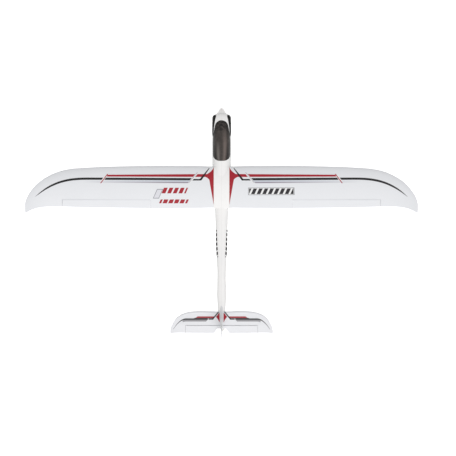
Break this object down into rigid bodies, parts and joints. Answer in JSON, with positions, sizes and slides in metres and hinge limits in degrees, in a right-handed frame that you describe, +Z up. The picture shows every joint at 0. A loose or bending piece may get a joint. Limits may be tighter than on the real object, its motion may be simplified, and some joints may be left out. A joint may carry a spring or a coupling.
{
  "type": "rc glider",
  "caption": "White foam radio-control glider with cambered wing, dark lift-off canopy, cross tail and working ailerons, elevator and rudder.",
  "frame": {"origin": "on the ground below the middle of the whole glider's box; the belly skid stands on z = 0", "axes": "+X along the span towards the pilot's left wing tip, +Y aft (the nose points to -Y), +Z up with the boom level"},
  "size_m": [1.8, 1.084, 0.26],
  "materials": {
    "hull_foam": "moulded bead foam, satin",
    "wing_foam": "moulded bead foam with applied trim, satin",
    "tail_foam": "moulded bead foam, satin",
    "nose_plastic": "moulded plastic, satin",
    "canopy_plastic": "smoked, semi-gloss",
    "dark_foam": "matte",
    "carbon": "pultruded, semi-gloss",
    "bright_steel": "bright drawn",
    "plywood": "bare birch",
    "battery_wrap": "shrink wrap",
    "strap_web": "hook-and-loop tape",
    "receiver_case": "matte",
    "lead_jacket": "flexible jacket",
    "guide_plastic": "extruded",
    "white_nylon": "moulded nylon",
    "skid_plastic": "matte",
    "servo_case": "matte",
    "horn_nylon": "moulded nylon",
    "brass": "turned"
  },
  "bodies": {
    "airframe": {"fuselage_left": "hull_foam", "fuselage_right": "hull_foam", "nose_cone": "nose_plastic", "fuselage_stiffeners": "carbon", "trim_balls": "bright_steel", "equipment_tray": "plywood", "battery": "battery_wrap", "battery_strap": "strap_web", "receiver": "receiver_case", "receiver_leads": "lead_jacket", "servo_shelf": "plywood", "elevator_servo": "servo_case", "rudder_servo": "servo_case", "elevator_guide_tube": "guide_plastic", "rudder_guide_tube": "guide_plastic", "canopy_clips": "white_nylon", "belly_skid": "skid_plastic", "tow_hook": "bright_steel", "tail_skid": "skid_plastic", "spar_holder": "white_nylon", "wing_locks": "white_nylon", "wing_left": "wing_foam", "wing_rib_left": "white_nylon", "spar_tube_left": "carbon", "aileron_servo_left": "servo_case", "servo_cover_left": "white_nylon", "aileron_lead_left": "lead_jacket", "wing_right": "wing_foam", "wing_rib_right": "white_nylon", "spar_tube_right": "carbon", "aileron_servo_right": "servo_case", "servo_cover_right": "white_nylon", "aileron_lead_right": "lead_jacket", "tailplane": "tail_foam", "fin": "tail_foam", "fin_insert": "white_nylon", "tail_screws": "bright_steel"},
    "canopy": {"canopy_shell": "canopy_plastic", "canopy_frame": "dark_foam", "canopy_pegs": "white_nylon"},
    "aileron_left": {"aileron_left": "wing_foam", "aileron_horn_left": "white_nylon"},
    "aileron_servo_arm_left": {"aileron_servo_arm_left": "horn_nylon"},
    "aileron_pushrod_left": {"aileron_pushrod_left": "bright_steel", "aileron_connector_left": "brass"},
    "aileron_right": {"aileron_right": "wing_foam", "aileron_horn_right": "white_nylon"},
    "aileron_servo_arm_right": {"aileron_servo_arm_right": "horn_nylon"},
    "aileron_pushrod_right": {"aileron_pushrod_right": "bright_steel", "aileron_connector_right": "brass"},
    "elevator": {"elevator": "tail_foam", "elevator_horn": "white_nylon"},
    "elevator_connector": {"elevator_connector": "brass"},
    "elevator_pushrod": {"elevator_pushrod": "bright_steel"},
    "elevator_servo_arm": {"elevator_servo_arm": "horn_nylon"},
    "rudder": {"rudder": "tail_foam", "rudder_horn": "white_nylon"},
    "rudder_connector": {"rudder_connector": "brass"},
    "rudder_pushrod": {"rudder_pushrod": "bright_steel"},
    "rudder_servo_arm": {"rudder_servo_arm": "horn_nylon"}
  },
  "joints": [
    {"name": "canopy_lift", "type": "slide", "parent": "airframe", "child": "canopy", "axis": [0, 0, 1], "range_m": [0, 0.09]},
    {"name": "aileron_hinge_left", "type": "hinge", "parent": "airframe", "child": "aileron_left", "pos_m": [0.412, -0.1046, 0.13412], "axis": [0.9977, 0, 0.0679], "range_deg": [-17, 33]},
    {"name": "aileron_servo_left", "type": "hinge", "parent": "airframe", "child": "aileron_servo_arm_left", "pos_m": [0.41222, -0.1566, 0.13093], "axis": [0.9977, 0, 0.0679], "range_deg": [-17, 33]},
    {"name": "aileron_link_left", "type": "hinge", "parent": "aileron_servo_arm_left", "child": "aileron_pushrod_left", "pos_m": [0.4133, -0.1566, 0.11496], "axis": [0.9977, 0, 0.0679], "range_deg": [-33, 17]},
    {"name": "aileron_hinge_right", "type": "hinge", "parent": "airframe", "child": "aileron_right", "pos_m": [-0.412, -0.1046, 0.13412], "axis": [0.9977, 0, -0.0679], "range_deg": [-17, 33]},
    {"name": "aileron_servo_right", "type": "hinge", "parent": "airframe", "child": "aileron_servo_arm_right", "pos_m": [-0.41222, -0.1566, 0.13093], "axis": [0.9977, 0, -0.0679], "range_deg": [-17, 33]},
    {"name": "aileron_link_right", "type": "hinge", "parent": "aileron_servo_arm_right", "child": "aileron_pushrod_right", "pos_m": [-0.4133, -0.1566, 0.11496], "axis": [0.9977, 0, -0.0679], "range_deg": [-33, 17]},
    {"name": "elevator_hinge", "type": "hinge", "parent": "airframe", "child": "elevator", "pos_m": [0, 0.4805, 0.082], "axis": [1, 0, 0], "range_deg": [-20, 20]},
    {"name": "elevator_swivel", "type": "hinge", "parent": "elevator", "child": "elevator_connector", "pos_m": [0.018, 0.4805, 0.07], "axis": [1, 0, 0], "range_deg": [-20, 20]},
    {"name": "elevator_wire_slide", "type": "slide", "parent": "airframe", "child": "elevator_pushrod", "axis": [0.0139, 0.9999, 0.0083], "range_m": [-0.00419, 0.00419]},
    {"name": "elevator_servo_turn", "type": "hinge", "parent": "airframe", "child": "elevator_servo_arm", "pos_m": [0.02, -0.212, 0.058], "axis": [0, 0, 1], "range_deg": [-20, 20]},
    {"name": "rudder_hinge", "type": "hinge", "parent": "airframe", "child": "rudder", "pos_m": [0, 0.5, 0.15], "axis": [0, 0, 1], "range_deg": [-25, 25]},
    {"name": "rudder_swivel", "type": "hinge", "parent": "rudder", "child": "rudder_connector", "pos_m": [-0.011, 0.5, 0.058], "axis": [0, 0, 1], "range_deg": [-25, 25]},
    {"name": "rudder_wire_slide", "type": "slide", "parent": "airframe", "child": "rudder_pushrod", "axis": [-0.0014, 1, -0.0093], "range_m": [-0.0048, 0.0048]},
    {"name": "rudder_servo_turn", "type": "hinge", "parent": "airframe", "child": "rudder_servo_arm", "pos_m": [-0.02, -0.212, 0.058], "axis": [0, 0, 1], "range_deg": [-25, 25]}
  ],
  "couplings": [
    {"joint": "aileron_servo_left", "follows": "aileron_hinge_left", "ratio": 1},
    {"joint": "aileron_link_left", "follows": "aileron_hinge_left", "ratio": -1},
    {"joint": "aileron_servo_right", "follows": "aileron_hinge_right", "ratio": 1},
    {"joint": "aileron_link_right", "follows": "aileron_hinge_right", "ratio": -1},
    {"joint": "elevator_swivel", "follows": "elevator_hinge", "ratio": -1},
    {"joint": "elevator_wire_slide", "follows": "elevator_hinge", "m_per_rad": 0.012},
    {"joint": "elevator_servo_turn", "follows": "elevator_hinge", "ratio": -1},
    {"joint": "rudder_swivel", "follows": "rudder_hinge", "ratio": -1},
    {"joint": "rudder_wire_slide", "follows": "rudder_hinge", "m_per_rad": -0.011},
    {"joint": "rudder_servo_turn", "follows": "rudder_hinge", "ratio": -1}
  ]
}
